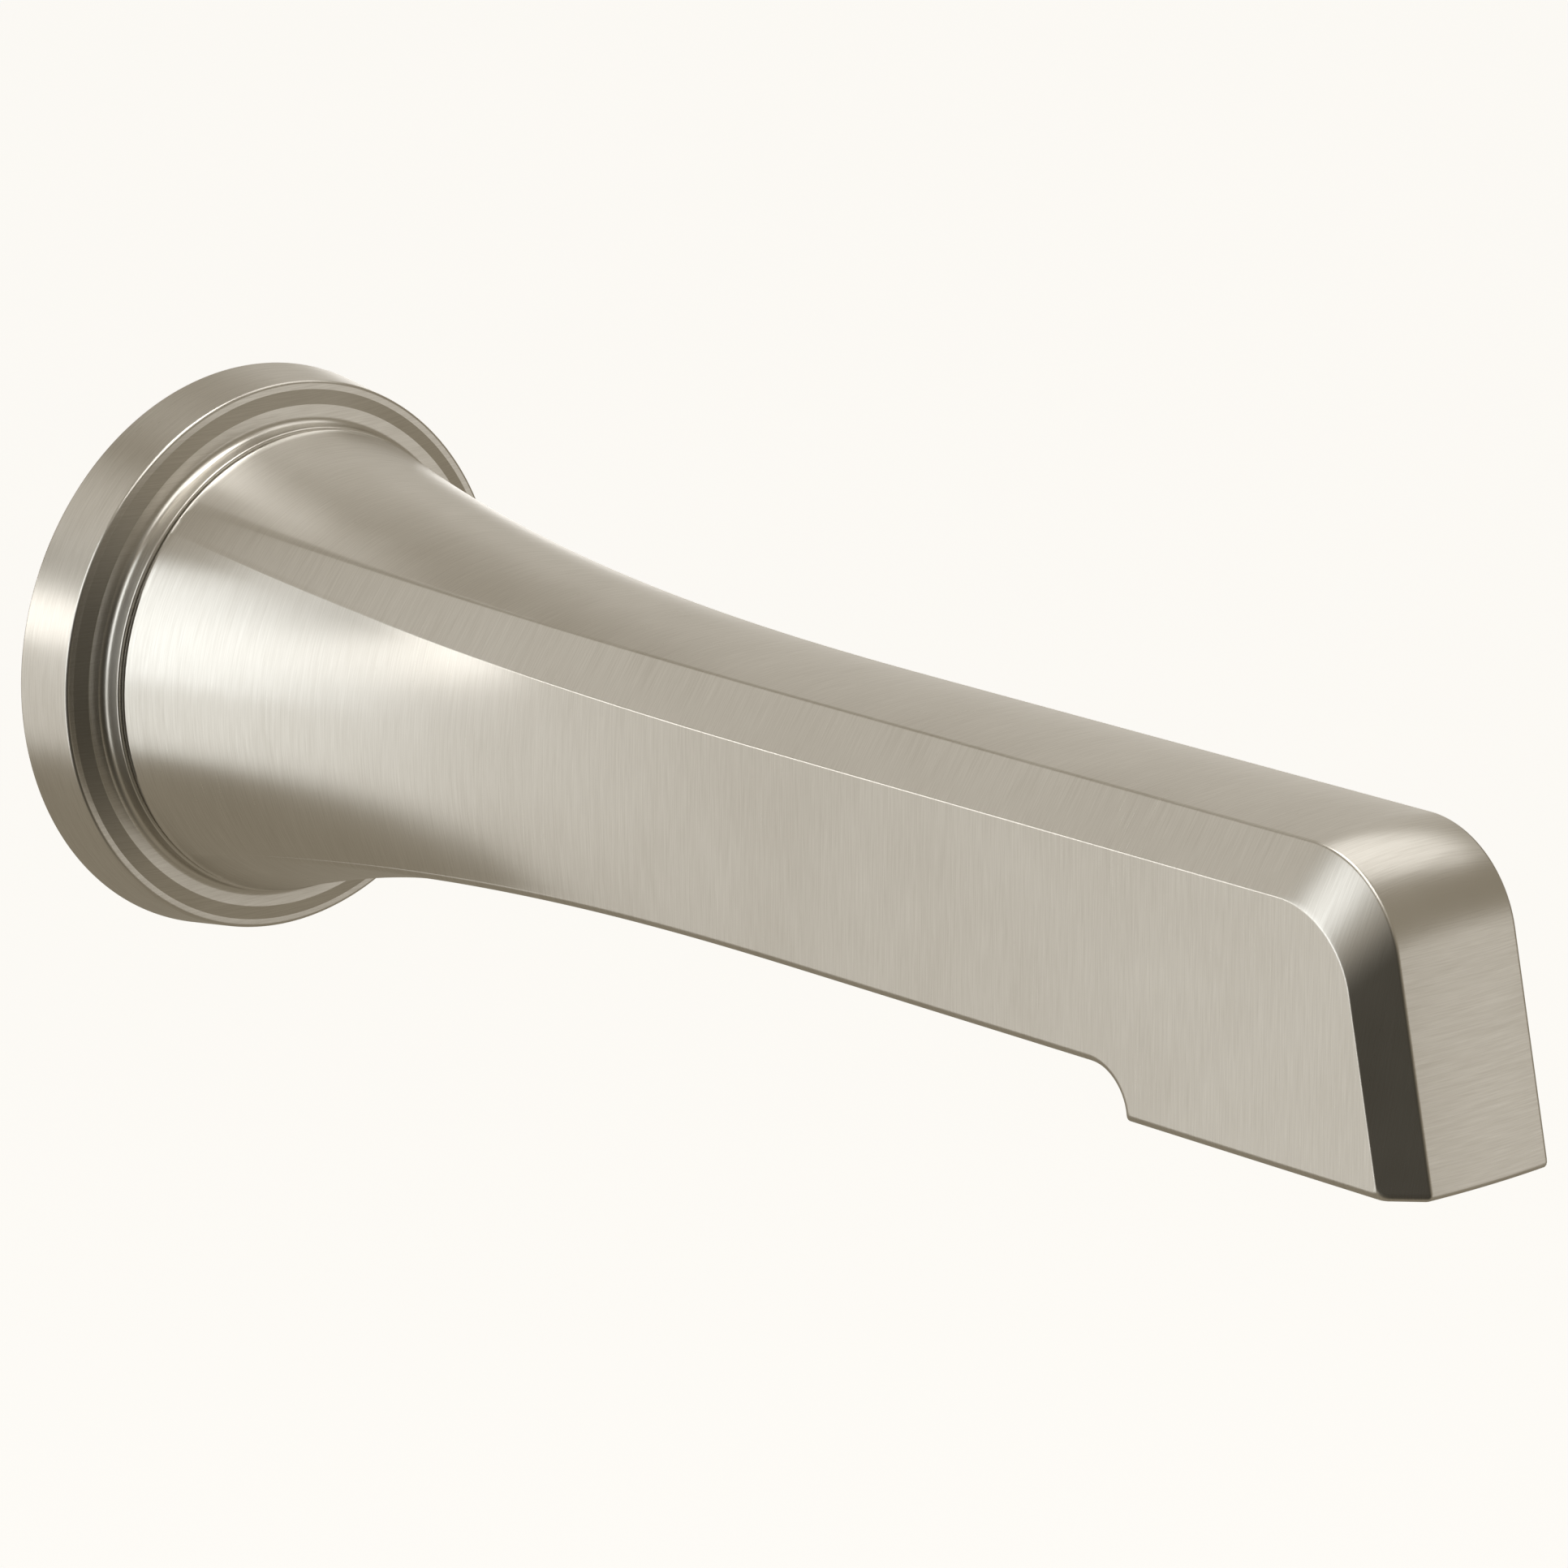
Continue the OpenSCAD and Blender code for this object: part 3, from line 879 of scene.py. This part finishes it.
def make_moulded_grain():
    """The fine tooth of a moulded or foamed surface."""
    tree, takes, gives = effect(
        "moulded grain",
        [("Position", "NodeSocketVector", None), ("Grain size", "NodeSocketFloat", 0.0003)],
        [("Grain", "NodeSocketFloat")],
    )
    scale = maths(tree, "DIVIDE", 1.0, takes["Grain size"])
    give(tree, gives, Grain=noise(tree, takes["Position"], scale, 3.0, 0.6))
    return tree


EFFECTS = {
    "strokes": make_brush_strokes(),
    "clouds": make_soft_clouds(),
    "marks": make_turning_marks(),
    "grain": make_moulded_grain(),
}


def apply_effect(tree, name, inputs):
    return place(tree, "ShaderNodeGroup", {"node_tree": EFFECTS[name]}, inputs).outputs


def new_finish(name):
    """A material with only its shader, and the position and facing of the surface."""
    material = bpy.data.materials.new(name)
    material.use_nodes = True
    tree = material.node_tree
    shader = tree.nodes["Principled BSDF"]
    where = tree.nodes.new("ShaderNodeTexCoord").outputs
    return material, tree, shader, where["Object"], where["Normal"]


def join(tree, shader, label, socket):
    tree.links.new(socket, shader.inputs[label])


def bump(tree, height, depth, strength=1.0):
    """Relief of a depth in millimetres."""
    node = place(
        tree,
        "ShaderNodeBump",
        {},
        {"Height": height, "Distance": depth * MM, "Strength": strength},
    )
    return node.outputs["Normal"]


# ------------------------------------------------------------------ finishes


def brushed_nickel(name, tone, dark_tone, width, length):
    """Satin nickel under a brushed grain, with strokes that catch and lose the light."""
    material, tree, shader, position, facing = new_finish(name)
    strokes = apply_effect(
        tree,
        "strokes",
        {
            "Position": position,
            "Facing": facing,
            "Stroke width": width * MM,
            "Stroke length": length * MM,
        },
    )
    clouds = apply_effect(tree, "clouds", {"Position": position, "Patch size": 16 * MM})["Clouds"]
    worn = remapped(tree, strokes["Strokes"], 0.3, 0.7, 0.0, 1.0)
    cloudy = remapped(tree, clouds, 0.3, 0.7, 0.0, 1.0)
    mixed = maths(
        tree, "ADD", maths(tree, "MULTIPLY", worn, 0.75), maths(tree, "MULTIPLY", cloudy, 0.25)
    )
    join(tree, shader, "Base Color", blended(tree, mixed, dark_tone, tone))
    dullness = maths(
        tree,
        "ADD",
        remapped(tree, strokes["Strokes"], 0.25, 0.75, 0.325, 0.275),
        remapped(tree, clouds, 0.3, 0.7, -0.01, 0.012),
    )
    join(tree, shader, "Roughness", dullness)
    relief = maths(tree, "ADD", strokes["Strokes"], maths(tree, "MULTIPLY", strokes["Passes"], 0.6))
    join(tree, shader, "Normal", bump(tree, relief, 0.002, 0.25))
    shader.inputs["Metallic"].default_value = 1.0
    shader.inputs["Anisotropic"].default_value = 0.55

    # The light spreads across the strokes: along the spout on its sides, upright on a face
    # that looks out from the wall.
    out_part = place(tree, "ShaderNodeSeparateXYZ", {}, {0: facing}).outputs["Y"]
    outward = remapped(
        tree, maths(tree, "ABSOLUTE", out_part), 0.75, 0.92, 0.0, 1.0, "SMOOTHSTEP"
    )
    spread = blended(tree, outward, (0, 1, 0), (0, 0, 1), "VECTOR")
    join(tree, shader, "Tangent", spread)
    return material


def turned_metal(name, tone, dark_tone, across, roughness, clouded):
    """Machined metal with lathe rings and slow patches of tarnish."""
    material, tree, shader, position, _ = new_finish(name)
    marks = apply_effect(
        tree, "marks", {"Position": position, "Across": across, "Mark width": 0.16 * MM}
    )["Marks"]
    clouds = apply_effect(tree, "clouds", {"Position": position, "Patch size": 6 * MM})["Clouds"]
    stained = remapped(tree, clouds, 0.35, 0.7, 0.0, clouded)
    join(tree, shader, "Base Color", blended(tree, stained, tone, dark_tone))
    join(
        tree,
        shader,
        "Roughness",
        maths(
            tree,
            "ADD",
            remapped(tree, marks, 0.3, 0.7, roughness - 0.05, roughness + 0.07),
            remapped(tree, clouds, 0.3, 0.7, -0.03, 0.06),
        ),
    )
    join(tree, shader, "Normal", bump(tree, marks, 0.01, 0.5))
    shader.inputs["Metallic"].default_value = 1.0
    return material


def moulded(name, tone, dark_tone, roughness, grain_size, depth):
    """Plastic or rubber with a fine tooth and slight clouding."""
    material, tree, shader, position, _ = new_finish(name)
    grain = apply_effect(
        tree, "grain", {"Position": position, "Grain size": grain_size * MM}
    )["Grain"]
    clouds = apply_effect(tree, "clouds", {"Position": position, "Patch size": 4 * MM})["Clouds"]
    join(
        tree,
        shader,
        "Base Color",
        blended(tree, remapped(tree, clouds, 0.3, 0.7, 0.0, 1.0), dark_tone, tone),
    )
    join(
        tree,
        shader,
        "Roughness",
        remapped(tree, grain, 0.3, 0.7, roughness - 0.08, roughness + 0.08),
    )
    join(tree, shader, "Normal", bump(tree, grain, depth, 0.6))
    return material


NICKEL = brushed_nickel(
    "brushed nickel", (0.735, 0.71, 0.66, 1), (0.61, 0.582, 0.53, 1), width=0.17, length=6.5
)
FLANGE_NICKEL = brushed_nickel(
    "brushed nickel flange", (0.735, 0.71, 0.66, 1), (0.60, 0.572, 0.52, 1), width=0.17, length=5.0
)
SHELL_NICKEL = turned_metal(
    "turned nickel", (0.68, 0.64, 0.57, 1), (0.5, 0.46, 0.39, 1), (1, 1, 0), 0.3, 0.4
)
BRASS = turned_metal(
    "turned brass", (0.80, 0.62, 0.30, 1), (0.52, 0.36, 0.15, 1), (1, 0, 1), 0.28, 0.6
)
STEEL = turned_metal(
    "machined steel", (0.62, 0.62, 0.63, 1), (0.45, 0.44, 0.43, 1), (1, 1, 0), 0.3, 0.4
)
WHITE_ACETAL = moulded(
    "white acetal", (0.86, 0.86, 0.83, 1), (0.8, 0.795, 0.76, 1), 0.42, 0.35, 0.008
)
GREY_ACETAL = moulded(
    "grey acetal", (0.30, 0.30, 0.30, 1), (0.24, 0.24, 0.245, 1), 0.45, 0.3, 0.012
)
RING_RUBBER = moulded(
    "ring rubber", (0.035, 0.035, 0.037, 1), (0.022, 0.022, 0.024, 1), 0.5, 0.2, 0.006
)
FOAM_RUBBER = moulded(
    "foam rubber", (0.055, 0.055, 0.057, 1), (0.02, 0.02, 0.02, 1), 0.85, 0.55, 0.08
)


# ------------------------------------------------------------------ the object

fit_out(build_spout_body(), NICKEL, "spout", "brushed_nickel", "spout_body")
fit_out(build_wall_flange(), FLANGE_NICKEL, "flange", "flange_nickel", "wall_flange")
fit_out(build_wall_gasket(), FOAM_RUBBER, "flange", "foam_rubber", "wall_gasket")
fit_out(build_pipe_adapter(), BRASS, "adapter", "machined_brass", "pipe_adapter")
fit_out(build_set_screw(), STEEL, "set_screw", "screw_steel", "set_screw")
for name, node, side in (
    ("elbow_screw_back", "elbow_screw_1", -1),
    ("elbow_screw_front", "elbow_screw_2", 1),
):
    fit_out(build_elbow_screw(name, side), STEEL, "spout", "screw_steel", node)
fit_out(
    refined_copy("outlet_elbow_moulding", "outlet_elbow", 0.25),
    GREY_ACETAL,
    "spout",
    "grey_acetal",
    "outlet_elbow",
)
fit_out(
    build_straightener_shell(),
    SHELL_NICKEL,
    "straightener_housing",
    "shell_nickel",
    "straightener_shell",
)
fit_out(
    refined_copy("straightener_honeycomb", "straightener_insert", 0.07),
    WHITE_ACETAL,
    "straightener_core",
    "white_acetal",
    "straightener_insert",
)

CARRIED_OVER = {
    "flange_oring": RING_RUBBER,
    "adapter_oring_1": RING_RUBBER,
    "adapter_oring_2": RING_RUBBER,
    "tube_oring_1": RING_RUBBER,
    "tube_oring_2": RING_RUBBER,
    "inlet_washer": RING_RUBBER,
    "straightener_seal": RING_RUBBER,
    "straightener_screen": STEEL,
    "waterway_tube": WHITE_ACETAL,
}
for node, material in CARRIED_OVER.items():
    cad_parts[node].material_slots[0].material = material


# ------------------------------------------------------------------ floor, light and camera

FLOOR_Z = -1.3
FLOOR_HALF_WIDTH = 14.0
MIDDLE = Vector((0, -0.11, 0))
LAMP_DISTANCE = 1.25


def towards(azimuth, elevation):
    """Unit vector for a compass angle from +X and a height angle, in degrees."""
    turn, lift = math.radians(azimuth), math.radians(elevation)
    return Vector(
        (math.cos(lift) * math.cos(turn), math.cos(lift) * math.sin(turn), math.sin(lift))
    )


def lay_floor():
    """A pale floor under the spout. The metal mirrors the dim room and not the floor."""
    bm = bmesh.new()
    bmesh.ops.create_grid(bm, x_segments=2, y_segments=2, size=FLOOR_HALF_WIDTH)
    bmesh.ops.translate(bm, vec=(0, 0, FLOOR_Z), verts=bm.verts)
    mesh = bpy.data.meshes.new("studio_floor")
    bm.to_mesh(mesh)
    bm.free()
    floor = bpy.data.objects.new("studio_floor", mesh)
    floor.visible_glossy = False
    bpy.context.scene.collection.objects.link(floor)
    material, tree, shader, position, _ = new_finish("pale studio floor")
    clouds = apply_effect(tree, "clouds", {"Position": position, "Patch size": 0.4})["Clouds"]
    join(
        tree,
        shader,
        "Base Color",
        blended(tree, clouds, (0.86, 0.862, 0.862, 1), (0.88, 0.882, 0.882, 1)),
    )
    shader.inputs["Roughness"].default_value = 0.9
    shader.inputs["Emission Color"].default_value = (0.98, 0.99, 1.0, 1)
    shader.inputs["Emission Strength"].default_value = 0.72
    mesh.materials.append(material)


def softbox(name, azimuth, elevation, width, height, power, colour=(1, 1, 1)):
    light = bpy.data.lights.new(name, "AREA")
    light.shape = "RECTANGLE"
    light.size, light.size_y = width, height
    light.energy = power
    light.color = colour
    lamp = bpy.data.objects.new(name, light)
    lamp.location = MIDDLE + LAMP_DISTANCE * towards(azimuth, elevation)
    lamp.rotation_euler = (-towards(azimuth, elevation)).to_track_quat("-Z", "Y").to_euler()
    lamp.visible_camera = False
    bpy.context.scene.collection.objects.link(lamp)


def dim_room():
    """Soft warm surroundings with a dark screen on one side. The camera sees them pale."""
    world = bpy.data.worlds.new("studio")
    bpy.context.scene.world = world
    world.use_nodes = True
    tree = world.node_tree
    direction = tree.nodes.new("ShaderNodeTexCoord").outputs["Generated"]
    nearness = place(
        tree,
        "ShaderNodeVectorMath",
        {"operation": "DOT_PRODUCT"},
        {0: direction, 1: towards(236, -12)},
    ).outputs["Value"]
    screen = remapped(tree, nearness, 0.58, 0.9, 0.0, 1.0, "SMOOTHSTEP")
    mirrored_room = blended(tree, screen, (0.31, 0.275, 0.215, 1), (0.045, 0.04, 0.03, 1))
    seen = tree.nodes.new("ShaderNodeLightPath").outputs["Is Camera Ray"]
    backdrop = blended(tree, seen, mirrored_room, (0.88, 0.875, 0.86, 1))
    tree.links.new(backdrop, tree.nodes["Background"].inputs["Color"])


def light_studio():
    dim_room()
    softbox("left softbox", 170, 18, 0.75, 1.1, 4.4, (0.9, 0.95, 1.0))
    softbox("low left fill", 168, -20, 0.75, 0.6, 1.4, (0.93, 0.97, 1.0))
    softbox("side fill", 136, -14, 0.6, 0.6, 0.5)
    softbox("edge strip", 133, 8, 0.5, 0.3, 1.1)
    softbox("upper side fill", 123, 38, 0.6, 0.5, 0.4)
    softbox("overhead softbox", 60, 86, 0.6, 0.6, 4.4)
    softbox("high front softbox", 240, 62, 0.7, 0.5, 2.4)
    softbox("front fill", 312, -6, 0.7, 0.7, 0.75)
    softbox("high right softbox", 10, 52, 1.0, 0.6, 1.9)
    softbox("back right fill", 45, 16, 0.9, 0.6, 0.5)
    softbox("back strip", 56, -4, 0.9, 0.3, 1.5)


def set_up_camera():
    lens = bpy.data.cameras.new("camera")
    lens.lens = 200.3
    lens.sensor_width = 36.0
    lens.clip_start = 0.01
    camera = bpy.data.objects.new("camera", lens)
    camera.location = (-0.7050, -0.8813, 0.2879)
    camera.rotation_euler = (math.radians(90 - 15.26), 0, math.radians(-42.292))
    bpy.context.scene.collection.objects.link(camera)
    bpy.context.scene.camera = camera
    bpy.context.scene.view_settings.view_transform = "Standard"


lay_floor()
light_studio()
set_up_camera()
